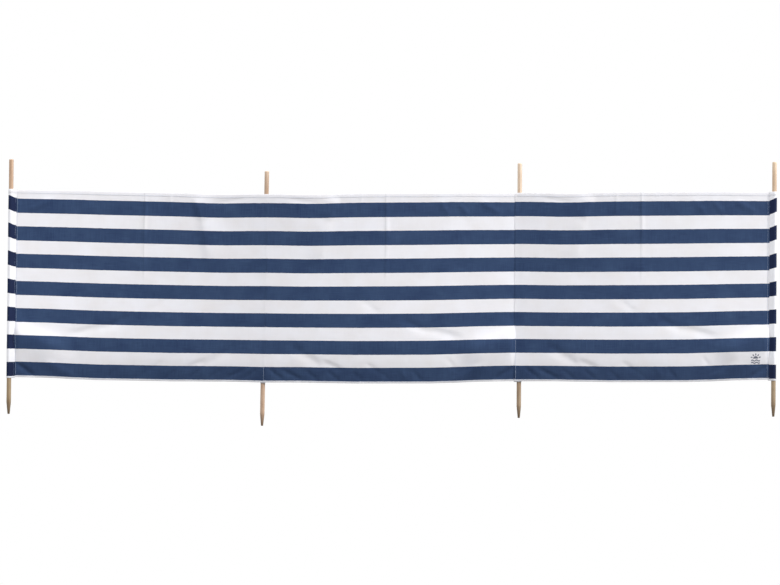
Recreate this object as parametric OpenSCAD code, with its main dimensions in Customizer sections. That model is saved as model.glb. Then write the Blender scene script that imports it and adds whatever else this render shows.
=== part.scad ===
// Beach windbreak: one striped cloth in three bays, sleeved on four turned poles
// that lean a little. Millimetres. The origin is the centre of pole 2's blunt foot,
// +X runs along the cloth toward pole 4, +Y points to the back and +Z up.

/* [Run] */
// Distance between the axes of neighbouring poles, at the cloth's mid height
pole_pitch = 1200; // [800:10:1600]
// How far each bay's middle stands off the line of poles, positive toward the back
billow = [34, -34, -34]; // [-80:1:80]

/* [Poles] */
// Length of one pole
pole_len = 1200; // [1150:5:1500]
// Diameter of a pole
pole_d = 21; // [16:0.5:32]
// Length of the tapered lower end
taper_len = 55; // [20:1:100]
// Diameter of the blunt foot
foot_d = 10; // [4:0.5:14]
// Radius that rounds the top end
top_round = 4; // [1:0.5:7]
// Bare length of each pole below the cloth
bare_len = [170, 201, 170, 170]; // [110:1:240]
// Lean of each pole toward +X, in degrees
lean = [0.65, 1.1, 0.25, 0.3]; // [-3:0.05:3]

/* [Cloth] */
// Height of the cloth from its lower to its upper edge
cloth_h = 890; // [600:5:900]
// Height of the cloth's middle at each pole above that at pole 2
cloth_rise = [25, 0, 6, 12]; // [-40:1:60]
// Thickness of the cloth
cloth_t = 1.5; // [1:0.1:2]
// Thickness of the folded hems
hem_t = 2.4; // [2:0.1:4]
// Width of the hem along the upper edge
top_hem_w = 16; // [8:1:40]
// Width of the hem along the lower edge
bottom_hem_w = 10; // [6:1:40]

/* [Sleeves] */
// Thickness of a sleeve's wall
sleeve_t = 1.4; // [0.8:0.1:3]
// Distance from a pole's axis to the far edge of the seam that closes its sleeve
seam_reach = 28; // [22:1:60]
// Thickness of the doubled cloth between a sleeve and its seam
seam_t = 2.4; // [2:0.1:4]

/* [Fits] */
// Gap all round between a pole and its sleeve
pole_gap = 0.3; // [0.2:0.05:1]
// Gap between a sleeve and the flat cloth beside it
seat_gap = 0.35; // [0.3:0.05:0.8]

/* [Hidden] */

pole_r = pole_d / 2;
foot_r = foot_d / 2;
sleeve_bore_r = pole_r + pole_gap;
sleeve_r = sleeve_bore_r + sleeve_t;
// Where flat cloth starts beside a sleeve, from the pole's axis
beside_sleeve = sleeve_r + seat_gap;
// Straight pieces along the curve of one bay
bay_steps = 16;
// Share of the pitch that a bay's curve runs on past each pole, to be cut off
run_on = 0.05;
// Steps round a quarter of a pole's rounded top
round_steps = 5;
// Room for cutting shapes beyond what they cut
margin = 200;
fine = 64;

wood = [0.86, 0.72, 0.56];
navy = [0.22, 0.30, 0.43];
dark_navy = [0.12, 0.15, 0.25];
white = [0.93, 0.93, 0.95];

// How far up each pole the cloth's middle is, from the foot
function mid_len(i) = bare_len[i] + cloth_h / 2;

// X and Z of the cloth's middle at a pole, counting poles from 0. Pole 2 leans out
// from the origin, and the others stand at whole pitches from it.
function mid_point(i) = [
    sin(lean[1]) * mid_len(1) + (i - 1) * pole_pitch,
    cos(lean[1]) * mid_len(1) + cloth_rise[i]
];

// X and Z of the point on a pole's axis at height h above the cloth's lower edge
function cloth_point(i, h) =
    mid_point(i) + (h - cloth_h / 2) * [sin(lean[i]), cos(lean[i])];

// Unit vector along bay i, in X and Z
function along_bay(i) =
    let (run = mid_point(i + 1) - mid_point(i))
    run / norm(run);

// X and Z of a corner of bay i's cloth: off along the bay from pole p's axis, and at
// height h above the cloth's lower edge
function corner(i, p, off, h) = cloth_point(p, h) + off * along_bay(i);

// How far bay i's cloth stands off the line of poles, at share s of the pitch
function billow_y(i, s) = 4 * billow[i] * s * (1 - s);

// Points along bay i's curve in plan, moved by dy
function bay_curve(i, dy) = [
    for (k = [0 : bay_steps])
        let (s = (1 + 2 * run_on) * k / bay_steps - run_on)
        [s * pole_pitch, billow_y(i, s) + dy]
];

// Points from the last to the first
function reversed(points) = [
    for (k = [len(points) - 1 : -1 : 0]) points[k]
];

// A piece of bay i's curved sheet: thickness t, from low to high above the cloth's
// lower edge. Each end is [pole, distance along the bay from that pole's axis].
module bay_piece(i, t, left_end, right_end, low, high) {
    depth = 2 * (max([for (b = billow) abs(b)]) + margin);
    intersection() {
        translate([mid_point(i)[0], 0, 0])
            linear_extrude(height = pole_len + margin)
                polygon(concat(bay_curve(i, -t / 2), reversed(bay_curve(i, t / 2))));
        rotate([90, 0, 0])
            linear_extrude(height = depth, center = true)
                polygon([
                    corner(i, left_end[0], left_end[1], low),
                    corner(i, right_end[0], right_end[1], low),
                    corner(i, right_end[0], right_end[1], high),
                    corner(i, left_end[0], left_end[1], high)
                ]);
    }
}

// The stretch of each bay between its seams or sleeves. The outer bays turn about
// their inner poles, so there they start beside the sleeve.
function bay_left(i) = [i, i == 2 ? beside_sleeve : seam_reach];
function bay_right(i) = [i + 1, -(i == 0 ? beside_sleeve : seam_reach)];

// Puts a shape that stands at the origin on pole i's axis, with its base at the
// distance up from the foot
module on_pole(i, up) {
    translate([mid_point(i)[0], 0, mid_point(i)[1]])
        rotate([0, lean[i], 0])
            translate([0, 0, up - mid_len(i)])
                children();
}

module pole(i) {
    top = pole_len - top_round;
    color(wood)
        on_pole(i, 0)
            rotate_extrude($fn = fine)
                polygon(concat(
                    [[0, 0], [foot_r, 0], [pole_r, taper_len]],
                    [for (k = [0 : round_steps])
                        let (a = 90 * k / round_steps)
                        [pole_r - top_round * (1 - cos(a)), top + top_round * sin(a)]],
                    [[0, pole_len]]
                ));
}

module sleeve(i) {
    color(dark_navy)
        on_pole(i, bare_len[i])
            difference() {
                cylinder(h = cloth_h, r = sleeve_r, $fn = fine);
                translate([0, 0, -margin / 2])
                    cylinder(h = cloth_h + margin, r = sleeve_bore_r, $fn = fine);
            }
}

// The seam on the right of pole i
module seam_after(i) {
    color(dark_navy)
        bay_piece(i, seam_t, [i, beside_sleeve], [i, seam_reach], 0, cloth_h);
}

// The seam on the left of pole i
module seam_before(i) {
    color(dark_navy)
        bay_piece(i - 1, seam_t, [i, -seam_reach], [i, -beside_sleeve], 0, cloth_h);
}

module cloth(i) {
    color(navy)
        bay_piece(
            i, cloth_t, bay_left(i), bay_right(i), bottom_hem_w, cloth_h - top_hem_w
        );
}

module top_hem(i) {
    color(white)
        bay_piece(i, hem_t, bay_left(i), bay_right(i), cloth_h - top_hem_w, cloth_h);
}

module bottom_hem(i) {
    color(white)
        bay_piece(i, hem_t, bay_left(i), bay_right(i), 0, bottom_hem_w);
}

pole(0);  // pole_1
pole(1);  // pole_2
pole(2);  // pole_3
pole(3);  // pole_4
sleeve(0);  // sleeve_1
sleeve(1);  // sleeve_2
sleeve(2);  // sleeve_3
sleeve(3);  // sleeve_4
seam_after(0);  // seam_1
seam_after(1);  // seam_2
seam_before(2);  // seam_3
seam_before(3);  // seam_4
cloth(0);  // left_cloth
cloth(1);  // middle_cloth
cloth(2);  // right_cloth
top_hem(0);  // left_top_hem
top_hem(1);  // middle_top_hem
top_hem(2);  // right_top_hem
bottom_hem(0);  // left_bottom_hem
bottom_hem(1);  // middle_bottom_hem
bottom_hem(2);  // right_bottom_hem
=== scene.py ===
"""Looks of a beach windbreak: one striped canvas in three bays, sleeved on four wooden
poles. Metres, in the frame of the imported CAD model: X runs along the canvas, Y points
to the back and Z up. The canvas is shaped by code as a function of two lengths: the run
u from the axis of a bay's left pole, and the height h above the canvas's lower edge.
"""

import math

import bpy
import numpy as np
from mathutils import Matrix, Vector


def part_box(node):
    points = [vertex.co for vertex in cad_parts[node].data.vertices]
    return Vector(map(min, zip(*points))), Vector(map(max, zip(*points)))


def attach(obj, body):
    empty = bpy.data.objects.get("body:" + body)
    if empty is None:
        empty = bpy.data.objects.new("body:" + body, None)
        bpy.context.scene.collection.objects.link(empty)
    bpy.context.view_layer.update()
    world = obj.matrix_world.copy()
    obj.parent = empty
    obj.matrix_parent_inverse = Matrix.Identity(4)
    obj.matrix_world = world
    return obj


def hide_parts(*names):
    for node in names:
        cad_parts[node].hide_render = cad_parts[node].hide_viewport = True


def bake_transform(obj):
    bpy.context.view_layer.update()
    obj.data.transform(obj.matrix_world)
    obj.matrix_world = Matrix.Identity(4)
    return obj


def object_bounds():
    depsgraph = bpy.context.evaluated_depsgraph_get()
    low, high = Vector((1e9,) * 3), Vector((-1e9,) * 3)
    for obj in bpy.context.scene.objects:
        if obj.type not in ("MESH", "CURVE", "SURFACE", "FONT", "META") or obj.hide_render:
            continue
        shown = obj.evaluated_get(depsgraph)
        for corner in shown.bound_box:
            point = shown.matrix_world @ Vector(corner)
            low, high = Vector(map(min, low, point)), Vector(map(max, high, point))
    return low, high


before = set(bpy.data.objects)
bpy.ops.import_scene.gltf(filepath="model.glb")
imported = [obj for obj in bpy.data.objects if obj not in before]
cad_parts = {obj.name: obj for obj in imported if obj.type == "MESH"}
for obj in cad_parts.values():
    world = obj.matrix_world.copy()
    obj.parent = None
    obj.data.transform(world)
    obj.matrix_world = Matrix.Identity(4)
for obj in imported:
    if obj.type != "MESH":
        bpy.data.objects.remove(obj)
cad_low, cad_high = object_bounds()
# One millimetre, in metres
MM = 0.001

# ---------------------------------------------------------------- what the CAD gives

POLE_NODES = ["pole_1", "pole_2", "pole_3", "pole_4"]
BAY_NAMES = ["left", "middle", "right"]
POLE_BODIES = ["left_bay", "centre_bay", "centre_bay", "right_bay"]
END_POLES = (0, 3)
# Half the thickness of the CAD cloth, and the widths of its hems
CAD_CLOTH_HALF = 0.75 * MM
TOP_HEM_W = 16 * MM
BOTTOM_HEM_W = 10 * MM


def pole_line(index):
    """A pole's axis: where it meets the canvas's lower edge and its direction, and the
    height and radius of the sleeve on it."""
    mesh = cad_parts[f"pole_{index + 1}"].data
    points = np.empty(len(mesh.vertices) * 3)
    mesh.vertices.foreach_get("co", points)
    points = points.reshape(-1, 3)
    ends = []
    for limit in (points[:, 2].min(), points[:, 2].max()):
        near = points[np.abs(points[:, 2] - limit) < MM]
        ends.append((near.min(0) + near.max(0)) / 2)
    axis = (ends[1] - ends[0]) / np.linalg.norm(ends[1] - ends[0])
    low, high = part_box(f"sleeve_{index + 1}")
    radius = (high.y - low.y) / 2
    tilt = radius * abs(axis[0])
    start = (low.z + tilt - ends[0][2]) / axis[2]
    height = (high.z - low.z - 2 * tilt) / axis[2]
    return ends[0] + axis * start, axis, height, radius


LINES = [pole_line(index) for index in range(4)]
CLOTH_H = LINES[1][2]
SLEEVE_R = LINES[1][3]
MIDDLES = [low + axis * CLOTH_H / 2 for low, axis, height, radius in LINES]
PITCH = (MIDDLES[3][0] - MIDDLES[0][0]) / 3


def cad_billow(bay):
    """How far the CAD cloth of a bay stands off the line of poles, positive to the back."""
    low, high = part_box(f"{BAY_NAMES[bay]}_cloth")
    if abs(high.y) > abs(low.y):
        return high.y - CAD_CLOTH_HALF
    return low.y + CAD_CLOTH_HALF


BILLOW = [cad_billow(bay) for bay in range(3)]

# ------------------------------------------------------------------ sizes of the cloth

# Half thicknesses of the canvas and of its folded hems
CANVAS_HALF = 0.45 * MM
HEM_HALF = 1.15 * MM
# The canvas passes in front of the inner poles, this far from their axes
FRONT = SLEEVE_R + 1.0 * MM
# How far behind that the middle bay ends, at the fold left of pole 3
FOLD_DEPTH = 5.2 * MM
# Y of each bay's canvas at its left and right pole
END_Y = [(0.0, -FRONT), (-FRONT, -FRONT + FOLD_DEPTH), (-FRONT, 0.0)]
# Seam lines: distance from the pole's axis, positive to the right
SEAM = [24 * MM, 8 * MM, -22 * MM, -24 * MM]
# How far canvas runs on past a seam, at the inner poles and at the end poles
LAP = 6 * MM
END_LAP = 3 * MM
# Where, before such a seam, the lap starts to rise to the front
LAP_RISE = 15 * MM
# How far the left and the right bay's lap stand out to the front
LEFT_LAP_OUT = 0.5 * MM
RIGHT_LAP_OUT = 0.6 * MM
# The bulge of a bay to the back and of one to the front change by these shares at the
# lower edge, and that reaches this far up
LOWER_BULGE_BACK = 0.2
LOWER_BULGE_FRONT = -0.25
LOWER_BULGE_REACH = 0.2
# Length of the mesh's steps along the canvas and up it
STEP_U = 6.5 * MM
STEP_H = 6.5 * MM
# Points round the rounded edge of a hem, and its thinnest share
NOSE_POINTS = 5
NOSE_THIN = 0.12
# Edges sharper than this are shaded as edges
SHARP_ANGLE = math.radians(40)
# Sag of the canvas's upper edge, middle and lower edge along one bay, in millimetres.
# The left bay has it mirrored.
SAG_RUN = [0, 60, 130, 190, 270, 340, 430, 600, 780, 900, 1010, 1140, 1200]
SAG_TOP = [1, 1.5, 3.5, 5.5, 6, 4, 2.5, 2, 2, 1, 2, 3, 3]
SAG_MIDDLE = [5, 6.2, 7.5, 8.5, 8.8, 9, 9.2, 9.5, 9, 7.5, 6, 5, 5]
SAG_BOTTOM = [-3.5, -3.5, -3.5, -3, -1, 0, 2, 2.5, 3.5, 1, -3, -4, -4]

# ---------------------------------------------------------------------- small helpers

NOISE_GRID = 64


def smooth(x, low, high):
    """0 below low, 1 above high and a smooth step between; low may exceed high."""
    t = np.clip((x - low) / (high - low), 0, 1)
    return t * t * (3 - 2 * t)


def value_noise(x, y, seed):
    """Smooth noise from -1 to 1 on a unit grid, the same on every run."""
    rng = np.random.default_rng(seed)
    table = rng.uniform(-1, 1, (NOISE_GRID, NOISE_GRID))
    xi = np.floor(x).astype(int)
    yi = np.floor(y).astype(int)
    fx = smooth(x - xi, 0, 1)
    fy = smooth(y - yi, 0, 1)
    a, b, c, d = (
        table[(xi + i) % NOISE_GRID, (yi + j) % NOISE_GRID]
        for i, j in ((0, 0), (1, 0), (0, 1), (1, 1))
    )
    return (a * (1 - fx) + b * fx) * (1 - fy) + (c * (1 - fx) + d * fx) * fy


def slab(front, back, uv, wrap=False):
    """Vertices, faces and face-corner UVs of a closed thin sheet between two grids of
    points. With wrap the first direction is closed into a ring, and uv has one more
    row in that direction than the grids."""
    n, m = front.shape[:2]
    verts = np.concatenate([front.reshape(-1, 3), back.reshape(-1, 3)])
    faces = []
    corners = []
    back_start = n * m

    def at(i, j, side):
        return (i % n) * m + j + side * back_start

    def add(*points):
        faces.append([at(*p) for p in points])
        corners.extend(uv[p[0], p[1]] for p in points)

    columns = n if wrap else n - 1
    for i in range(columns):
        for j in range(m - 1):
            add((i, j, 0), (i + 1, j, 0), (i + 1, j + 1, 0), (i, j + 1, 0))
            add((i, j, 1), (i, j + 1, 1), (i + 1, j + 1, 1), (i + 1, j, 1))
        add((i, 0, 0), (i, 0, 1), (i + 1, 0, 1), (i + 1, 0, 0))
        add((i, m - 1, 0), (i + 1, m - 1, 0), (i + 1, m - 1, 1), (i, m - 1, 1))
    if not wrap:
        for j in range(m - 1):
            add((0, j, 0), (0, j + 1, 0), (0, j + 1, 1), (0, j, 1))
            add((n - 1, j, 0), (n - 1, j, 1), (n - 1, j + 1, 1), (n - 1, j + 1, 0))
    return verts, faces, corners


def build(name, parts, material):
    """One mesh object from parts made by slab or stitches."""
    verts = []
    faces = []
    corners = []
    for part_verts, part_faces, part_corners in parts:
        start = len(verts)
        verts.extend(map(tuple, part_verts))
        faces.extend([v + start for v in face] for face in part_faces)
        corners.extend(part_corners)
    mesh = bpy.data.meshes.new(name)
    mesh.from_pydata(verts, [], faces)
    layer = mesh.uv_layers.new(name="Canvas")
    layer.data.foreach_set("uv", np.array(corners, dtype=np.float32).ravel())
    mesh.materials.append(material)
    mesh.shade_smooth()
    mesh.set_sharp_from_angle(angle=SHARP_ANGLE)
    piece = bpy.data.objects.new(name, mesh)
    bpy.context.collection.objects.link(piece)
    return piece


# ------------------------------------------------------------------ shape of the canvas

# Creases of one bay, in millimetres: run and height of the upper end, then of the lower
# end, width of the left flank, width of the right flank, and height toward the front.
# The left bay has them mirrored.
CREASES = [
    # storage folds pressed in while the canvas was packed
    (568, 892, 574, 640, 5, 9, 2.6),
    (574, 660, 570, 470, 5, 8, 1.4),
    (452, 890, 450, 790, 6, 9, 1.8),
    (640, 884, 640, 800, 5, 6, 0.5),
    (262, 300, 258, 225, 5, 5, 0.6),
    (356, 560, 352, 470, 6, 6, 0.5),
    # a long soft fold from the upper edge down toward the left pole
    (338, 872, 300, 770, 56, 14, 5.6),
    (300, 800, 256, 560, 60, 26, 5.0),
    (105, 868, 250, 852, 12, 9, -1.8),
    # short folds in the upper right corner
    (826, 850, 872, 786, 14, 9, 2.4),
    (905, 850, 962, 788, 15, 10, 2.6),
    (1015, 852, 1115, 796, 17, 11, 3.2),
    (700, 846, 716, 800, 8, 8, 0.9),
    # folds that fall to the right across the middle
    (430, 420, 560, 325, 20, 14, -1.6),
    (640, 314, 780, 240, 22, 15, -3.2),
    (755, 264, 930, 214, 25, 16, -3.6),
    # drags toward the lower corners
    (120, 186, 290, 70, 27, 19, -3.4),
    (275, 106, 376, 62, 20, 13, -3.2),
    (480, 100, 556, 46, 14, 10, -2.2),
    (1225, 232, 930, 128, 50, 96, 17.0),
    (1040, 84, 880, 6, 16, 34, 3.6),
    (1172, 70, 1085, 8, 12, 13, -5.5),
    (860, 122, 908, 56, 12, 9, -1.8),
    (700, 64, 746, 8, 12, 8, -2.4),
    (640, 72, 674, 20, 10, 8, 1.8),
    (18, 74, 96, 14, 12, 8, -3.2),
    (86, 66, 186, 12, 13, 8, -3.4),
    (200, 62, 262, 10, 12, 8, -2.4),
    (300, 62, 360, 10, 12, 8, -2.4),
    (420, 58, 474, 6, 12, 8, -2.0),
    (560, 52, 600, 8, 10, 8, -1.4),
]
# Shares of a crease's length: how far it runs on past an end, and how far in it is full
CREASE_RUN_ON = 0.12
CREASE_FULL = 0.3
# Unevenness: height in millimetres, cells per metre along and up, shift up, and seed
UNEVEN = [
    (1.3, 6, 3.5, 3, 5),
    (0.5, 17, 9, 1, 6),
    (0.16, 45, 28, 0, 7),
]
# Shifts the unevenness of one bay from the next, in cells
BAY_SHIFT = 7.3
# Distances from a pole over which creases and unevenness fade in
RELIEF_FROM = 8 * MM
RELIEF_FULL = 46 * MM


def one_crease(u, h, crease):
    """Toward-the-front height of one crease, fading out at its ends."""
    u0, h0, u1, h1, left, right, height = (value * MM for value in crease)
    du = u1 - u0
    dh = h1 - h0
    length = math.hypot(du, dh)
    along = ((u - u0) * du + (h - h0) * dh) / length**2
    across = ((u - u0) * dh - (h - h0) * du) / length
    width = np.where(across > 0, left, right)
    start = smooth(along, -CREASE_RUN_ON, CREASE_FULL)
    end = smooth(along, 1 + CREASE_RUN_ON, 1 - CREASE_FULL)
    return height * np.exp(-((across / width) ** 2)) * (start * end)


def relief(bay, u, h):
    """How far creases, drags and unevenness bring the canvas to the front."""
    run = PITCH - u if bay == 0 else u
    out = np.zeros(np.broadcast(u, h).shape)
    for crease in CREASES:
        out = out + one_crease(run, h, crease)
    for size, along, up, shift, seed in UNEVEN:
        noise = value_noise(u * along + bay * BAY_SHIFT, h * up + shift, seed)
        out = out + size * MM * noise
    near = np.minimum(np.abs(u), np.abs(u - PITCH))
    return out * smooth(near, RELIEF_FROM, RELIEF_FULL)


def sag(bay, u, h):
    """How far a point of the canvas lies below its place on a flat, level cut."""
    run = PITCH - u if bay == 0 else u
    stations = [station * MM for station in SAG_RUN]
    top, middle, bottom = (
        MM * np.interp(run, stations, drops) for drops in (SAG_TOP, SAG_MIDDLE, SAG_BOTTOM)
    )
    share = h / CLOTH_H
    return (
        bottom * (1 - share) * (1 - 2 * share)
        + middle * 4 * share * (1 - share)
        + top * share * (2 * share - 1)
    )


def canvas(bay, u, h, out):
    """Points of a bay's canvas, moved out to the front; u and h are grids in metres."""
    s = u / PITCH
    height = h - sag(bay, u, h)
    left, left_axis = LINES[bay][:2]
    right, right_axis = LINES[bay + 1][:2]
    x, z = (
        (left[k] + left_axis[k] * height) * (1 - s)
        + (right[k] + right_axis[k] * height) * s
        for k in (0, 2)
    )
    start, end = END_Y[bay]
    # a bay that billows to the back bulges more along its lower edge, the others less
    extra = LOWER_BULGE_BACK if BILLOW[bay] > 0 else LOWER_BULGE_FRONT
    bulge = BILLOW[bay] * (1 + extra * (1 - smooth(h, 0, LOWER_BULGE_REACH)))
    y = start * (1 - s) + end * s + 4 * bulge * s * (1 - s)
    y = y - relief(bay, u, h) - out
    return np.stack([x, y, z], -1)


def to_right(axis):
    """Direction to the right of a pole, square to its axis."""
    return np.array([axis[2], 0, -axis[0]])


def by_pole(index, x, y, h):
    """Points beside a pole: x to the right of its axis, y to the back, h up the canvas."""
    low, axis = LINES[index][:2]
    shape = np.broadcast(x, y, h).shape
    x, y, h = (np.broadcast_to(v, shape)[..., None] for v in (x, y, h))
    return low + axis * h + to_right(axis) * x + np.array([0, 1.0, 0]) * y


def steps(start, end, size):
    """Places from start to end, as near as can be to a size apart."""
    return np.linspace(start, end, max(2, round(abs(end - start) / size) + 1))


def bay_ends(bay):
    """Where a bay's canvas starts and ends; outer bays lap over the middle one."""
    if bay == 0:
        return SEAM[0] - END_LAP, PITCH + SEAM[1]
    if bay == 1:
        return SEAM[1] - LAP, PITCH + SEAM[2] + LAP
    return SEAM[2], PITCH + SEAM[3] + END_LAP


def lap_out(bay, u):
    """How far out a bay's canvas lies where it laps over the middle bay's edge."""
    if bay == 0:
        end = PITCH + SEAM[1]
        return LEFT_LAP_OUT * smooth(u, end - LAP_RISE, end - LAP)
    if bay == 2:
        return RIGHT_LAP_OUT * smooth(u, SEAM[2] + LAP_RISE, SEAM[2] + LAP)
    return np.zeros_like(u)


def strip(bay, low, high, half, round_end=None):
    """A closed strip of a bay's canvas between two heights, rounded at one edge."""
    start, end = bay_ends(bay)
    us = steps(start, end, STEP_U)
    hs = steps(low, high, STEP_H)
    halves = np.full(len(hs), half)
    if round_end:
        turn = np.linspace(0, math.pi / 2, NOSE_POINTS)[1:]
        nose = half * np.sin(turn)
        thin = np.maximum(half * np.cos(turn), NOSE_THIN * half)
        if round_end == "top":
            hs = np.concatenate([hs[:-1], [high - half], high - half + nose])
            halves = np.concatenate([halves[:-1], [half], thin])
        else:
            hs = np.concatenate([(low + half - nose)[::-1], [low + half], hs[1:]])
            halves = np.concatenate([thin[::-1], [half], halves[1:]])
    u, h = np.meshgrid(us, hs, indexing="ij")
    thick = np.broadcast_to(halves, u.shape)
    away = lap_out(bay, u)
    front = canvas(bay, u, h, away + thick)
    back = canvas(bay, u, h, away - thick)
    uv = np.stack([u + bay * PITCH, h], -1)
    return slab(front, back, uv)


def bend_with(piece, bay):
    """Rides a piece of the middle bay on that bay's body; a piece of an outer bay is only
    baked where it stands.
    """
    if bay == 1:
        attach(piece, "centre_bay")
        return
    if bay == 0:
        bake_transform(piece)
    else:
        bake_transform(piece)


# --------------------------------------------------------------------------- materials


SHEEN_ROUGH = 0.4
# The range that most of a noise texture's values fill
NOISE_LOW = 0.3
NOISE_HIGH = 0.7


class Nodes:
    """A material and short ways to add and join its nodes."""

    def __init__(self, name):
        self.material = bpy.data.materials.new(name)
        self.material.use_nodes = True
        self.tree = self.material.node_tree
        self.tree.nodes.clear()
        self.output = self.add("ShaderNodeOutputMaterial")

    def add(self, kind, **settings):
        node = self.tree.nodes.new(kind)
        for key, value in settings.items():
            setattr(node, key, value)
        return node

    def join(self, source, target):
        self.tree.links.new(source, target)

    def feed(self, socket, value):
        if isinstance(value, bpy.types.NodeSocket):
            self.join(value, socket)
        else:
            socket.default_value = value

    def math(self, operation, a, b=0.0, c=None):
        node = self.add("ShaderNodeMath", operation=operation)
        self.feed(node.inputs[0], a)
        self.feed(node.inputs[1], b)
        if c is not None:
            self.feed(node.inputs[2], c)
        return node.outputs[0]

    def mix(self, factor, a, b, blend="MIX"):
        node = self.add("ShaderNodeMix", data_type="RGBA", blend_type=blend)
        self.feed(node.inputs["Factor"], factor)
        self.feed(node.inputs[6], a)
        self.feed(node.inputs[7], b)
        return node.outputs[2]

    def noise(self, vector, scale=1.0, detail=2.0, rough=0.5):
        node = self.add("ShaderNodeTexNoise", noise_dimensions="3D")
        self.join(vector, node.inputs["Vector"])
        node.inputs["Scale"].default_value = scale
        node.inputs["Detail"].default_value = detail
        node.inputs["Roughness"].default_value = rough
        return node.outputs["Fac"]

    def stretch(self, vector, x, y, z=1.0):
        node = self.add("ShaderNodeMapping")
        self.join(vector, node.inputs["Vector"])
        node.inputs["Scale"].default_value = (x, y, z)
        return node.outputs["Vector"]

    def spread(self, value, low, high, new_low=0.0, new_high=1.0):
        """The value stretched from one range to another, and kept inside it."""
        node = self.add("ShaderNodeMapRange")
        self.join(value, node.inputs[0])
        node.inputs[1].default_value = low
        node.inputs[2].default_value = high
        node.inputs[3].default_value = new_low
        node.inputs[4].default_value = new_high
        return node.outputs[0]

    def bump(self, height, distance, strength=1.0, under=None):
        node = self.add("ShaderNodeBump")
        self.join(height, node.inputs["Height"])
        node.inputs["Distance"].default_value = distance
        node.inputs["Strength"].default_value = strength
        if under is not None:
            self.join(under, node.inputs["Normal"])
        return node.outputs["Normal"]

    def surface(self, color, rough, normal, specular, sheen=0.0):
        shader = self.add("ShaderNodeBsdfPrincipled")
        self.feed(shader.inputs["Base Color"], color)
        self.feed(shader.inputs["Roughness"], rough)
        self.join(normal, shader.inputs["Normal"])
        shader.inputs["Specular IOR Level"].default_value = specular
        shader.inputs["Sheen Weight"].default_value = sheen
        shader.inputs["Sheen Roughness"].default_value = SHEEN_ROUGH
        self.join(shader.outputs[0], self.output.inputs["Surface"])
        return self.material


def paint(red, green, blue):
    """Linear colour from the 0 to 255 values that a screen shows."""
    linear = [
        v / 12.92 if v <= 0.04045 else ((v + 0.055) / 1.055) ** 2.4
        for v in (red / 255, green / 255, blue / 255)
    ]
    return (*linear, 1.0)


# Each pair is a tone and the one that it wanders to. The last two are single tones.
WHITES = [paint(222, 221, 225), paint(217, 214, 215)]
NAVIES = [paint(34, 51, 83), paint(54, 74, 105)]
# The sleeves' copy of the canvas tones: painted light makes its whites lighter and painted
# shade makes its navies darker
SLEEVE_LIT_WHITES = [paint(228, 228, 232), paint(221, 219, 221)]
SLEEVE_SHADED_NAVIES = [paint(17, 26, 54), paint(28, 40, 72)]
THREAD_GREY = paint(150, 164, 188)
PRINT_GREY = paint(92, 94, 104)
# Heights of the white above the first navy stripe, of a navy stripe and of a white one,
# and how many navy stripes there are
TOP_BAND = 40.5 * MM
NAVY_BAND = 66.6 * MM
WHITE_BAND = 62.4 * MM
PAIRS = 7
NAVY_SHARE = NAVY_BAND / (NAVY_BAND + WHITE_BAND)
# How far a stripe's edge wavers, and the waver's scales along and across
WAVER = 1.6 * MM
WAVER_SCALE = (60, 9)
# Broad mottling: its scale, and the ranges over which white and navy wander
MOTTLE_SCALE = 9.0
WHITE_RANGE = (0.35, 0.75)
NAVY_RANGE = (0.5, 0.95)
# Shares of the slubs and of the mottling in how worn the navy is
WORN_SLUBS = 0.9
WORN_MOTTLE = 0.5
# Shade of thin and thick threads, the canvas's roughness, and its puckers and weave
THREAD_SHADE = (0.97, 1.02)
CANVAS_ROUGH = (0.82, 0.94)
PUCKER_SCALE = 38.0
PUCKER_DEPTH = 0.5 * MM
WEAVE_DEPTH = 0.12 * MM
# Length of one repeat of the weave, the slubs' scales along and across their threads,
# and their share in the weave's height
WEAVE_PITCH = 1.7 * MM
SLUB_ALONG = 14
SLUB_ACROSS = 620
SLUB_SHARE = 1.6
# Painted shade that darkens the canvas towards its lower edge, and more over its lowest
# part: shares of the cloth's height that each reaches, and the tone at the foot
LOWER_SHADE_REACH = 0.3
LOWER_SHADE_TONE = 0.95
FOOT_SHADE_REACH = 0.13
FOOT_SHADE_TONE = 0.82
# Where the storage folds run, along the canvas from pole 1
FOLD_LINES = [PITCH - 0.576, PITCH + 0.566, 2 * PITCH + 0.566]
# How much painted shade darkens them, the half widths of that shade where full and where
# gone, and the shares of the cloth's height over which it comes in
FOLD_SHADE = 0.11
FOLD_CORE = 0.8 * MM
FOLD_EDGE = 3.2 * MM
FOLD_FROM = 0.5
FOLD_FULL = 0.7


def weave(nodes, vector, pitch):
    """Height of a plain weave, raised at the crossings, and its thicker threads both
    ways."""
    split = nodes.add("ShaderNodeSeparateXYZ")
    nodes.join(vector, split.inputs[0])
    turn = 2 * math.pi / pitch
    across = nodes.math("SINE", nodes.math("MULTIPLY", split.outputs[0], turn))
    up = nodes.math("SINE", nodes.math("MULTIPLY", split.outputs[1], turn))
    crossing = nodes.math("MULTIPLY", across, up)
    slub_u = nodes.noise(nodes.stretch(vector, SLUB_ALONG, SLUB_ACROSS))
    slub_v = nodes.noise(nodes.stretch(vector, SLUB_ACROSS, SLUB_ALONG))
    slubs = nodes.math("ADD", slub_u, slub_v)
    height = nodes.math("MULTIPLY_ADD", slubs, SLUB_SHARE, crossing)
    return height, slub_u, slub_v


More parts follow.
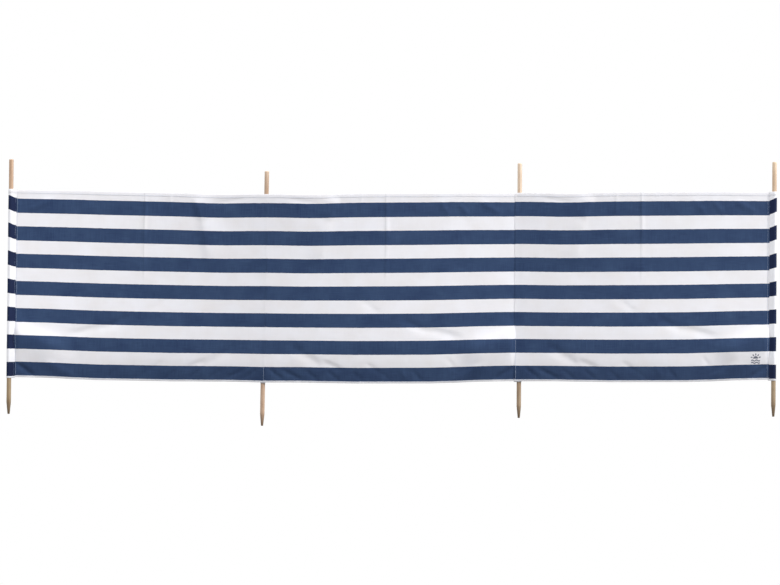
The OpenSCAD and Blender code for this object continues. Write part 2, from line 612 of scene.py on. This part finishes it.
def canvas_material(name, white_tones, navy_tones):
    """Woven cotton canvas, with the navy and white stripes running along it, painted shade
    towards its lower edge and a painted shade line along each storage fold.
    """
    nodes = Nodes(name)
    vector = nodes.add("ShaderNodeUVMap", uv_map="Canvas").outputs[0]
    height, slub_u, slub_v = weave(nodes, vector, WEAVE_PITCH)
    split = nodes.add("ShaderNodeSeparateXYZ")
    nodes.join(vector, split.inputs[0])
    waver = nodes.noise(nodes.stretch(vector, *WAVER_SCALE), detail=1.0)
    along, up = split.outputs[:2]
    level = nodes.math("MULTIPLY_ADD", waver, WAVER, up)
    down = nodes.math("SUBTRACT", CLOTH_H - TOP_BAND + WAVER / 2, level)
    pair = nodes.math("DIVIDE", down, NAVY_BAND + WHITE_BAND)
    in_pair = nodes.math("LESS_THAN", nodes.math("FRACT", pair), NAVY_SHARE)
    inside = nodes.math(
        "MULTIPLY",
        nodes.math("GREATER_THAN", pair, 0.0),
        nodes.math("LESS_THAN", pair, PAIRS),
    )
    stripe = nodes.math("MULTIPLY", in_pair, inside)
    mottle = nodes.noise(vector, scale=MOTTLE_SCALE, detail=3.0, rough=0.55)
    fine = nodes.math("MULTIPLY", nodes.math("ADD", slub_u, slub_v), 0.5)
    white = nodes.mix(nodes.spread(mottle, *WHITE_RANGE), *white_tones)
    faded = nodes.math("MULTIPLY", mottle, WORN_MOTTLE)
    worn = nodes.math("MULTIPLY_ADD", fine, WORN_SLUBS, faded)
    navy = nodes.mix(nodes.spread(worn, *NAVY_RANGE), *navy_tones)
    color = nodes.mix(stripe, white, navy)
    # painted shade: the lower part a little darker, and the lowest part darker still
    painted_shade = nodes.spread(up, 0.0, LOWER_SHADE_REACH * CLOTH_H, LOWER_SHADE_TONE)
    foot_shade = nodes.spread(up, 0.0, FOOT_SHADE_REACH * CLOTH_H, FOOT_SHADE_TONE)
    painted_shade = nodes.math("MULTIPLY", painted_shade, foot_shade)
    # painted shade: a darker line down the crease of the storage fold that is pressed into
    # each bay
    fold_shade_height = nodes.spread(up, FOLD_FROM * CLOTH_H, FOLD_FULL * CLOTH_H)
    for place in FOLD_LINES:
        off = nodes.math("ABSOLUTE", nodes.math("SUBTRACT", along, place))
        line = nodes.spread(off, FOLD_CORE, FOLD_EDGE, FOLD_SHADE, 0.0)
        kept = nodes.math("SUBTRACT", 1.0, nodes.math("MULTIPLY", line, fold_shade_height))
        painted_shade = nodes.math("MULTIPLY", painted_shade, kept)
    thread = nodes.spread(fine, NOISE_LOW, NOISE_HIGH, *THREAD_SHADE)
    shade = nodes.math("MULTIPLY", painted_shade, thread)
    gray = nodes.add("ShaderNodeCombineColor")
    for socket in gray.inputs[:3]:
        nodes.join(shade, socket)
    color = nodes.mix(1.0, color, gray.outputs[0], "MULTIPLY")
    rough = nodes.spread(fine, NOISE_LOW, NOISE_HIGH, *CANVAS_ROUGH)
    puckers = nodes.noise(vector, scale=PUCKER_SCALE, detail=3.0)
    puckered = nodes.bump(puckers, PUCKER_DEPTH, strength=0.35)
    normal = nodes.bump(height, WEAVE_DEPTH, strength=0.55, under=puckered)
    return nodes.surface(color, rough, normal, specular=0.2, sheen=0.03)


# Wood tones of the poles' upper and lower parts
UPPER_WOOD = [(183, 154, 130), (182, 157, 136), (200, 176, 154), (203, 178, 152)]
LOWER_WOOD = [(136, 118, 93), (176, 150, 129), (147, 127, 105), (142, 124, 101)]
GRAIN_TINT = paint(205, 178, 148)
PALE_TINT = paint(255, 252, 246)
SOILED_WOOD = paint(80, 62, 42)
# Heights above a pole's foot where the darker lower tone and the soil are full and where
# gone
LOWER_TONE_FULL = 0.16
LOWER_TONE_GONE = 0.36
SOIL_FULL = 0.004
SOIL_GONE = 0.07
SOIL_SHARE = 0.85
# Scales across and up a pole of its grain, pores and blotches, and how much of them shows
GRAIN_SCALE = (170, 170, 5)
PORE_SCALE = (900, 900, 26)
BLOTCH_SCALE = (12, 12, 7)
GRAIN_RANGE = (0.42, 0.68)
GRAIN_SHARE = 0.75
BLOTCH_RANGE = (0.4, 0.7)
BLOTCH_SHARE = 0.5
PORE_SHARE = 0.5
WOOD_ROUGH = (0.5, 0.68)
GRAIN_DEPTH = 0.35 * MM


def wood_material(index):
    """Turned softwood: long grain up the pole, darker towards its lower end, and a dark
    foot.
    """
    name = POLE_NODES[index]
    foot_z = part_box(name)[0].z
    nodes = Nodes(f"{name}_wood")
    vector = nodes.add("ShaderNodeTexCoord").outputs["Object"]
    split = nodes.add("ShaderNodeSeparateXYZ")
    nodes.join(vector, split.inputs[0])
    grain = nodes.noise(nodes.stretch(vector, *GRAIN_SCALE), detail=4.0, rough=0.6)
    pores = nodes.noise(nodes.stretch(vector, *PORE_SCALE))
    blotch = nodes.noise(nodes.stretch(vector, *BLOTCH_SCALE))
    up = split.outputs[2]
    lower_tone = nodes.spread(up, foot_z + LOWER_TONE_FULL, foot_z + LOWER_TONE_GONE, 1.0, 0.0)
    base = nodes.mix(lower_tone, paint(*UPPER_WOOD[index]), paint(*LOWER_WOOD[index]))
    dark = nodes.mix(1.0, base, GRAIN_TINT, "MULTIPLY")
    lines = nodes.spread(grain, *GRAIN_RANGE, 0.0, GRAIN_SHARE)
    color = nodes.mix(lines, base, dark)
    pale = nodes.mix(1.0, base, PALE_TINT, "SOFT_LIGHT")
    blotches = nodes.spread(blotch, *BLOTCH_RANGE, 0.0, BLOTCH_SHARE)
    color = nodes.mix(blotches, color, pale)
    foot = nodes.spread(up, foot_z + SOIL_FULL, foot_z + SOIL_GONE, SOIL_SHARE, 0.0)
    color = nodes.mix(foot, color, SOILED_WOOD)
    fibre = nodes.math("MULTIPLY_ADD", pores, PORE_SHARE, grain)
    rough = nodes.spread(grain, NOISE_LOW, NOISE_HIGH, *WOOD_ROUGH)
    normal = nodes.bump(fibre, GRAIN_DEPTH, strength=0.6)
    return nodes.surface(color, rough, normal, specular=0.35)


TWIST_SCALE = (900, 900)
TWIST_DEPTH = 0.1 * MM
WEAR_SCALE = 60.0
WEAR_SHARE = 0.6
THREAD_ROUGH = (0.6, 0.8)
WORN_TINT = paint(255, 255, 255)


def thread_material(name, tone):
    """Twisted thread or a worn print: a tone that varies along the canvas."""
    nodes = Nodes(name)
    vector = nodes.add("ShaderNodeUVMap", uv_map="Canvas").outputs[0]
    twist = nodes.noise(nodes.stretch(vector, *TWIST_SCALE), detail=1.0)
    wear = nodes.noise(vector, scale=WEAR_SCALE)
    light = nodes.mix(1.0, tone, WORN_TINT, "SOFT_LIGHT")
    worn = nodes.spread(wear, NOISE_LOW, NOISE_HIGH, 0.0, WEAR_SHARE)
    color = nodes.mix(worn, tone, light)
    normal = nodes.bump(twist, TWIST_DEPTH, strength=0.6)
    rough = nodes.spread(wear, NOISE_LOW, NOISE_HIGH, *THREAD_ROUGH)
    return nodes.surface(color, rough, normal, specular=0.3, sheen=0.2)


STRIPED = canvas_material("striped_canvas", WHITES, NAVIES)
# the sleeves get a copy of the canvas with painted light on the whites and painted shade on
# the navies
SLEEVE_LIT_AND_SHADED = canvas_material("sleeve_canvas_lit_and_shaded", SLEEVE_LIT_WHITES, SLEEVE_SHADED_NAVIES)
THREAD = thread_material("light_thread", THREAD_GREY)
PRINT = thread_material("grey_print", PRINT_GREY)

# ------------------------------------------------------------------------ canvas pieces

# How far the flat canvas runs on inside a folded hem
HEM_COVER = 3 * MM


def make_bay(bay):
    """The canvas of one bay and its folded hems."""
    name = BAY_NAMES[bay]
    bottom = BOTTOM_HEM_W
    top = CLOTH_H - TOP_HEM_W
    made = {}
    part = strip(bay, bottom - HEM_COVER, top + HEM_COVER, CANVAS_HALF)
    made["cloth"] = build(f"{name}_canvas", [part], STRIPED)
    part = strip(bay, top, CLOTH_H, HEM_HALF, "top")
    made["top_hem"] = build(f"{name}_upper_fold", [part], STRIPED)
    part = strip(bay, 0.0, bottom, HEM_HALF, "bottom")
    made["bottom_hem"] = build(f"{name}_lower_fold", [part], STRIPED)
    for kind, piece in made.items():
        bend_with(piece, bay)
        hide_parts(f"{name}_{kind}")
    return made


# ----------------------------------------------------------------------------- sleeves

# The two points that each sleeve's loop is drawn out to: X and Y from the pole's axis
LOOP_ENDS = [
    [(26 * MM, -1.5 * MM), (26 * MM, 1.5 * MM)],
    [(9.5 * MM, -12.2 * MM), (10.5 * MM, -11.0 * MM)],
    [(-24 * MM, -9.4 * MM), (-24 * MM, -8.4 * MM)],
    [(-26 * MM, -1.5 * MM), (-26 * MM, 1.5 * MM)],
]
LOOP_POINTS = 72
CIRCLE_POINTS = 360
# How far a loop's outer and inner face lie inside the CAD sleeve's outside
LOOP_OUTER = 0.15 * MM
LOOP_INNER = 1.05 * MM
# The inner face's end points, as shares of the outer ones. The last is for end poles.
INNER_END_X = 0.97
INNER_END_Y = 0.955
INNER_THIN_Y = 0.5
# How far the turned edge of a loop stands out, how wide the step to it is, and how far
# the loop's ends round off
TURNED_OUT = 0.45 * MM
TURN_STEP = 1 * MM
END_ROUND = 0.6 * MM
END_OUT = 0.1 * MM
# Height of a loop's unevenness, and the cells per metre and seeds of its two noises
PUFF = 0.25 * MM
WAVES_UP = 14
RIPPLES_UP = 33
RIPPLES_ROUND = 9
RIPPLE_SHARE = 0.6
WAVE_SEED = 21
RIPPLE_SEED = 22
# End sleeves were pulled up: their stripes climb this far, from none at the first place
# beside the pole's axis and the first height to all of it at the second
CLIMB = 12 * MM
CLIMB_BESIDE = (-24 * MM, 12 * MM)
CLIMB_HEIGHTS = (0.13, 0.8)


def loop_outline(radius, ends, count):
    """Evenly spaced points round the outline that wraps a circle and two end points."""
    angles = np.linspace(0, 2 * math.pi, CIRCLE_POINTS + 1)[:-1]
    circle = np.stack([radius * np.cos(angles), radius * np.sin(angles)], -1)
    points = sorted(map(tuple, np.concatenate([circle, np.array(ends)])))

    def half(run):
        chain = []
        for p in run:
            while len(chain) > 1 and (
                (chain[-1][0] - chain[-2][0]) * (p[1] - chain[-2][1])
                - (chain[-1][1] - chain[-2][1]) * (p[0] - chain[-2][0])
                <= 0
            ):
                chain.pop()
            chain.append(p)
        return chain[:-1]

    hull = np.array(half(points) + half(points[::-1]))
    closed = np.concatenate([hull, hull[:1]])
    lengths = np.linalg.norm(np.diff(closed, axis=0), axis=1)
    run = np.concatenate([[0], np.cumsum(lengths)])
    want = np.linspace(0, run[-1], count + 1)[:-1]
    x = np.interp(want, run, closed[:, 0])
    y = np.interp(want, run, closed[:, 1])
    return np.stack([x, y], -1), run[-1]


def make_sleeve(index):
    """The loop of canvas round one pole, closed to a seam."""
    ends = LOOP_ENDS[index]
    squeeze = INNER_THIN_Y if index in END_POLES else INNER_END_Y
    inner_ends = [(x * INNER_END_X, y * squeeze) for x, y in ends]
    outer, length = loop_outline(SLEEVE_R - LOOP_OUTER, ends, LOOP_POINTS)
    inner, _ = loop_outline(SLEEVE_R - LOOP_INNER, inner_ends, LOOP_POINTS)
    top = CLOTH_H - TOP_HEM_W
    hs = np.concatenate([
        [0.0, END_ROUND, BOTTOM_HEM_W],
        steps(BOTTOM_HEM_W + TURN_STEP, top - TURN_STEP, STEP_H),
        [top, CLOTH_H - END_ROUND, CLOTH_H],
    ])
    in_hem = (hs < BOTTOM_HEM_W + TURN_STEP / 2) | (hs > top - TURN_STEP / 2)
    turned = np.where(in_hem, TURNED_OUT, 0.0)
    turned[0] = turned[-1] = END_OUT
    share = np.arange(LOOP_POINTS + 1) / LOOP_POINTS
    around, h = np.meshgrid(share[:-1], hs, indexing="ij")
    # the outline's normals
    ahead = np.roll(outer, -1, 0) - np.roll(outer, 1, 0)
    normal = np.stack([ahead[:, 1], -ahead[:, 0]], -1)
    normal /= np.linalg.norm(normal, axis=1)[:, None]
    # each pole takes its own part of the noise
    turn = np.cos(around * 2 * math.pi) * 2 + 9 + index * 5
    wave = value_noise(turn, h * WAVES_UP, WAVE_SEED)
    ripple = value_noise(around * RIPPLES_ROUND + 3, h * RIPPLES_UP + index, RIPPLE_SEED)
    puff = turned + PUFF * (wave + RIPPLE_SHARE * ripple)
    x, y = (outer[:, k, None] + normal[:, k, None] * puff for k in (0, 1))
    front = by_pole(index, x, y, h)
    back = by_pole(index, inner[:, 0, None], inner[:, 1, None], h)
    u, v = np.meshgrid(share * length + index * PITCH, hs, indexing="ij")
    if index in END_POLES:
        outward = np.append(outer[:, 0], outer[0, 0]) * (-1 if index == 0 else 1)
        climb = smooth(outward, *CLIMB_BESIDE)[:, None]
        v = v - CLIMB * climb * smooth(hs, *CLIMB_HEIGHTS)
    part = slab(front, back, np.stack([u, v], -1), wrap=True)
    piece = build(f"sleeve_loop_{index + 1}", [part], SLEEVE_LIT_AND_SHADED)
    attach(piece, POLE_BODIES[index])
    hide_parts(f"sleeve_{index + 1}")
    return piece


# The strip that backs a seam: its width, half thickness, distance from the cloth's upper
# and lower edges, step of its mesh, and where it starts beside an end pole's axis and past
# an inner pole's seam
BACKING_W = 14 * MM
BACKING_HALF = 0.5 * MM
BACKING_INSET = 1.5 * MM
BACKING_STEP = 3 * MM
END_BACKING = 20 * MM
INNER_BACKING = 3 * MM
# How far behind the canvas's middle it lies, at end poles and at inner poles
END_BEHIND = 2.0 * MM
INNER_BEHIND = CANVAS_HALF + 1.1 * MM


def make_seam(index):
    """The strip behind the canvas that backs a sleeve's seam."""
    side = 1 if index < 2 else -1
    bay = index if index < 2 else index - 1
    origin = 0.0 if index < 2 else PITCH
    if index in END_POLES:
        near = side * END_BACKING
        behind = END_BEHIND
    else:
        near = SEAM[index] + side * INNER_BACKING
        behind = INNER_BEHIND
    far = near + side * BACKING_W
    us = steps(origin + min(near, far), origin + max(near, far), BACKING_STEP)
    hs = steps(BACKING_INSET, CLOTH_H - BACKING_INSET, STEP_H)
    u, h = np.meshgrid(us, hs, indexing="ij")
    front = canvas(bay, u, h, -behind + BACKING_HALF)
    back = canvas(bay, u, h, -behind - BACKING_HALF)
    part = slab(front, back, np.stack([u + bay * PITCH, h], -1))
    piece = build(f"seam_backing_{index + 1}", [part], STRIPED)
    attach(piece, POLE_BODIES[index])
    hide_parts(f"seam_{index + 1}")
    return piece


# ---------------------------------------------------------------------------- stitches

STITCH = 4.2 * MM
STITCH_PITCH = 6.0 * MM
THREAD_R = 0.55 * MM
THREAD_SIDES = 6
# A stitch's thickness at shares of its length
SWELL = [(0.0, 0.15), (0.16, 0.8), (0.5, 1.0), (0.84, 0.8), (1.0, 0.15)]
# How far from the cloth's edges a row up the canvas starts and ends
ROW_INSET = 7 * MM
# Heights of the rows along the hems
UPPER_ROW = CLOTH_H - 13.5 * MM
LOWER_ROW = 7.5 * MM
# How far rows stand out from the canvas's and the hems' middle, and from the canvas's
# middle to the back of a seam's backing, at end poles and inner poles
PROUD = CANVAS_HALF + 0.15 * MM
HEM_PROUD = HEM_HALF + 0.1 * MM
END_BACK_ROW = -3.1 * MM
INNER_BACK_ROW = -2.3 * MM
# Distance from an end pole's axis to the row on its sleeve, and that row's Y, and the
# distances to the rows on the canvas's front and on the backing
SLEEVE_ROW = 22.5 * MM
SLEEVE_ROW_Y = -2.6 * MM
END_FRONT_ROW = 30.5 * MM
END_BACK_ROW_U = 31.5 * MM
# Distances from an inner pole's seam line to the rows along it: on an outer bay the
# quiet and the light one, and on the middle bay the quiet one and the one behind
OUTER_QUIET = 2 * MM
OUTER_LIGHT = 5 * MM
MIDDLE_QUIET = 4 * MM
MIDDLE_BACK = 12 * MM
# Heights up to which a light row shows beside poles 2 and 3
LEFT_LIGHT_ROW = 76 * MM
RIGHT_LIGHT_ROW = 210 * MM


def stitches(place, length, uv):
    """A row of short thread stitches. place gives points at distances along the row, and
    uv where they lie on the canvas."""
    count = int(length / STITCH_PITCH)
    starts = (np.arange(count) + 0.5) * length / count - STITCH / 2
    ring = np.linspace(0, 2 * math.pi, THREAD_SIDES + 1)[:-1]
    verts = []
    faces = []
    corners = []
    for start in starts:
        base = len(verts)
        a = place(start)
        b = place(start + STITCH)
        along = (b - a) / np.linalg.norm(b - a)
        out = np.array([0, -1.0, 0])
        across = np.cross(along, out)
        for share, swell in SWELL:
            centre = a + (b - a) * share
            for angle in ring:
                offset = across * math.cos(angle) + out * math.sin(angle)
                verts.append(centre + offset * THREAD_R * swell)
        first = len(faces)
        for k in range(len(SWELL) - 1):
            low = base + k * THREAD_SIDES
            high = low + THREAD_SIDES
            for i in range(THREAD_SIDES):
                j = (i + 1) % THREAD_SIDES
                faces.append([low + i, low + j, high + j, high + i])
        last = base + (len(SWELL) - 1) * THREAD_SIDES
        faces.append([base + i for i in reversed(range(THREAD_SIDES))])
        faces.append([last + i for i in range(THREAD_SIDES)])
        here = uv(start)
        corners.extend(here for face in faces[first:] for _ in face)
    return verts, faces, corners


def seam_row(bay, u, out, reach=CLOTH_H):
    """A row of stitches up the canvas at one place along the run."""
    start = ROW_INSET
    length = min(reach, CLOTH_H - start) - start
    run = np.array(u)

    def place(t):
        return canvas(bay, run, np.array(start + t), out + lap_out(bay, run))

    return stitches(place, length, lambda t: (u + bay * PITCH, start + t))


def hem_row(bay, h, out):
    """A row of stitches along a hem."""
    start, end = bay_ends(bay)

    def place(t):
        u = np.array(start + t)
        return canvas(bay, u, np.array(h), out + lap_out(bay, u))

    return stitches(place, end - start, lambda t: (start + t + bay * PITCH, h))


def sleeve_row(index, x, y):
    """A row of stitches up an end sleeve, beside the pole's axis."""
    start = ROW_INSET

    def place(t):
        return by_pole(index, x, y, start + t)

    return stitches(place, CLOTH_H - 2 * start, lambda t: (x, start + t))


def make_stitches(bay):
    """The stitches that show on one bay, front and back. Quiet rows take the stripes'
    colours, the others are light."""
    rows = []
    for side in (1, -1):
        rows.append(hem_row(bay, UPPER_ROW, side * HEM_PROUD))
        rows.append(hem_row(bay, LOWER_ROW, side * HEM_PROUD))
    if bay == 0:
        seam = PITCH + SEAM[1]
        quiet = [seam_row(0, seam - OUTER_QUIET, PROUD)]
        rows.append(seam_row(0, seam - OUTER_LIGHT, PROUD, LEFT_LIGHT_ROW))
        rows.append(sleeve_row(0, SLEEVE_ROW, SLEEVE_ROW_Y))
        rows.append(seam_row(0, END_FRONT_ROW, PROUD))
        rows.append(seam_row(0, END_BACK_ROW_U, END_BACK_ROW))
    elif bay == 2:
        seam = SEAM[2]
        quiet = [seam_row(2, seam + OUTER_QUIET, PROUD)]
        rows.append(seam_row(2, seam + OUTER_LIGHT, PROUD, RIGHT_LIGHT_ROW))
        rows.append(sleeve_row(3, -SLEEVE_ROW, SLEEVE_ROW_Y))
        rows.append(seam_row(2, PITCH - END_FRONT_ROW, PROUD))
        rows.append(seam_row(2, PITCH - END_BACK_ROW_U, END_BACK_ROW))
    else:
        left_seam = SEAM[1]
        right_seam = PITCH + SEAM[2]
        quiet = [
            seam_row(1, left_seam + MIDDLE_QUIET, PROUD),
            seam_row(1, right_seam - MIDDLE_QUIET, PROUD),
        ]
        rows.append(seam_row(1, left_seam + MIDDLE_BACK, INNER_BACK_ROW))
        rows.append(seam_row(1, right_seam - MIDDLE_BACK, INNER_BACK_ROW))
    made = []
    kinds = [("stitches", rows, THREAD), ("seam_stitches", quiet, STRIPED)]
    for name, parts, material in kinds:
        piece = build(f"{BAY_NAMES[bay]}_{name}", parts, material)
        bend_with(piece, bay)
        made.append(piece)
    return made


# ------------------------------------------------------------------------------ emblem

# The mark's centre: how far left of pole 4's axis, and how high up the cloth
MARK_FROM_POLE = 88 * MM
MARK_HEIGHT = 104 * MM
# Front and back of the print, from the canvas's middle
MARK_FRONT = CANVAS_HALF + 0.35 * MM
MARK_BACK = CANVAS_HALF - 0.1 * MM
# The sun's radius and the hole at its centre, and the rays' inner end, length and width
SUN_R = 12 * MM
SUN_HOLE = 0.5 * MM
RAY_START = 16 * MM
RAY_LENGTH = 9 * MM
RAY_WIDTH = 5 * MM
RAY_ANGLES = (18, 54, 90, 126, 162)
# The waves' length, height and thickness, and their levels below the sun
WAVE_LENGTH = 42 * MM
WAVE_RISE = 2.6 * MM
WAVE_THICK = 5.5 * MM
WAVE_LEVELS = (-12 * MM, -23 * MM)
SUN_POINTS = 17
WAVE_POINTS = 33


def make_emblem():
    """A small printed mark near the right end: a half sun over two waves."""
    parts = []

    def add(shape, n, m):
        """A printed shape as n by m points, with a and b from 0 to 1 across it."""
        a, b = np.meshgrid(np.linspace(0, 1, n), np.linspace(0, 1, m), indexing="ij")
        du, dh = shape(a, b)
        u = PITCH - MARK_FROM_POLE + du
        h = MARK_HEIGHT + dh
        front, back = (canvas(2, u, h, out) for out in (MARK_FRONT, MARK_BACK))
        parts.append(slab(front, back, np.stack([u, h], -1)))

    def sun(a, b):
        angle = math.pi * (1 - a)
        radius = SUN_HOLE + (SUN_R - SUN_HOLE) * b
        return radius * np.cos(angle), radius * np.sin(angle)

    def ray(angle):
        def shape(a, b):
            radius = RAY_START + RAY_LENGTH * b
            wide = (a - 0.5) * RAY_WIDTH
            du = radius * math.cos(angle) + wide * math.sin(angle)
            dh = radius * math.sin(angle) - wide * math.cos(angle)
            return du, dh

        return shape

    def wave(level):
        def shape(a, b):
            rise = WAVE_RISE * np.sin(a * 4 * math.pi)
            return (a - 0.5) * WAVE_LENGTH, rise + level + WAVE_THICK * b

        return shape

    add(sun, SUN_POINTS, 3)
    for turn in RAY_ANGLES:
        add(ray(math.radians(turn)), 2, 3)
    for level in WAVE_LEVELS:
        add(wave(level), WAVE_POINTS, 2)
    piece = build("sun_and_waves_mark", parts, PRINT)
    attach(piece, "right_bay")
    return piece


# ------------------------------------------------------------------------ the assembly

bays = [make_bay(bay) for bay in range(3)]
sleeves = [make_sleeve(index) for index in range(4)]
seams = [make_seam(index) for index in range(4)]
threads = [make_stitches(bay) for bay in range(3)]
emblem = make_emblem()

for index, name in enumerate(POLE_NODES):
    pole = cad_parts[name]
    pole.data.materials.clear()
    pole.data.materials.append(wood_material(index))

for bay, made in enumerate(bays):
    if bay == 0:
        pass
    elif bay == 1:
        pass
    else:
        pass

# --------------------------------------------------------------- camera, stage, lights

LENS = 85
SENSOR = 36
# Share of the frame's width that the windbreak fills, and where its centre sits in X
FILLS = 0.988
CENTRE_X = 0.4978
FAR_CLIP = 200
FLOOR_HALF = 60.0
FLOOR_TONE = (0.18, 0.18, 0.18, 1)
SKY_TONE = (0.95, 0.97, 1, 1)
SKY_STRENGTH = 0.95
# Name, azimuth, elevation, strength and softness in degrees
SUNS = [
    ("key", 75, 20, 2.9, 10),
    ("top", -20, 62, 2.2, 14),
    ("behind", 200, 35, 1.1, 30),
]


def make_camera():
    """Level, square to the windbreak, with the whole of it filling the frame's width."""
    size = [b - a for a, b in zip(cad_low, cad_high)]
    camera = bpy.data.cameras.new("camera")
    camera.lens = LENS
    camera.sensor_width = SENSOR
    camera.clip_end = FAR_CLIP
    distance = size[0] / FILLS * LENS / SENSOR
    holder = bpy.data.objects.new("camera", camera)
    holder.location = (
        cad_low[0] + CENTRE_X * size[0],
        -distance,
        cad_low[2] + 0.5 * size[2],
    )
    holder.rotation_euler = (math.pi / 2, 0, 0)
    bpy.context.collection.objects.link(holder)
    bpy.context.scene.camera = holder


def make_floor():
    """A plain floor: grey to the light, and to the camera as white as the background."""
    half = FLOOR_HALF
    verts = [(-half, -half, 0), (half, -half, 0), (half, half, 0), (-half, half, 0)]
    mesh = bpy.data.meshes.new("floor")
    mesh.from_pydata(verts, [], [(0, 1, 2, 3)])
    nodes = Nodes("pale_floor")
    matt = nodes.add("ShaderNodeBsdfDiffuse")
    matt.inputs["Color"].default_value = FLOOR_TONE
    white = nodes.add("ShaderNodeEmission")
    white.inputs["Strength"].default_value = 1.0
    path = nodes.add("ShaderNodeLightPath")
    seen = nodes.add("ShaderNodeMixShader")
    nodes.join(path.outputs["Is Camera Ray"], seen.inputs[0])
    nodes.join(matt.outputs[0], seen.inputs[1])
    nodes.join(white.outputs[0], seen.inputs[2])
    nodes.join(seen.outputs[0], nodes.output.inputs["Surface"])
    mesh.materials.append(nodes.material)
    floor = bpy.data.objects.new("floor", mesh)
    bpy.context.collection.objects.link(floor)


def make_sun(name, azimuth, elevation, strength, soft):
    """A distant lamp; azimuth is measured from the viewer's side toward the right."""
    lamp = bpy.data.lights.new(name, "SUN")
    lamp.energy = strength
    lamp.angle = math.radians(soft)
    holder = bpy.data.objects.new(name, lamp)
    holder.rotation_euler = (math.radians(90 - elevation), 0, math.radians(azimuth))
    bpy.context.collection.objects.link(holder)


def make_world():
    """White to the camera, dimmer as a light."""
    world = bpy.data.worlds.new("studio")
    world.use_nodes = True
    tree = world.node_tree
    tree.nodes.clear()
    path = tree.nodes.new("ShaderNodeLightPath")
    seen = tree.nodes.new("ShaderNodeBackground")
    lit = tree.nodes.new("ShaderNodeBackground")
    mix = tree.nodes.new("ShaderNodeMixShader")
    output = tree.nodes.new("ShaderNodeOutputWorld")
    seen.inputs["Color"].default_value = (1, 1, 1, 1)
    seen.inputs["Strength"].default_value = 1.0
    lit.inputs["Color"].default_value = SKY_TONE
    lit.inputs["Strength"].default_value = SKY_STRENGTH
    tree.links.new(path.outputs["Is Camera Ray"], mix.inputs[0])
    tree.links.new(lit.outputs[0], mix.inputs[1])
    tree.links.new(seen.outputs[0], mix.inputs[2])
    tree.links.new(mix.outputs[0], output.inputs["Surface"])
    bpy.context.scene.world = world


make_camera()
make_floor()
make_world()
for sun in SUNS:
    make_sun(*sun)
bpy.context.scene.view_settings.view_transform = "Standard"
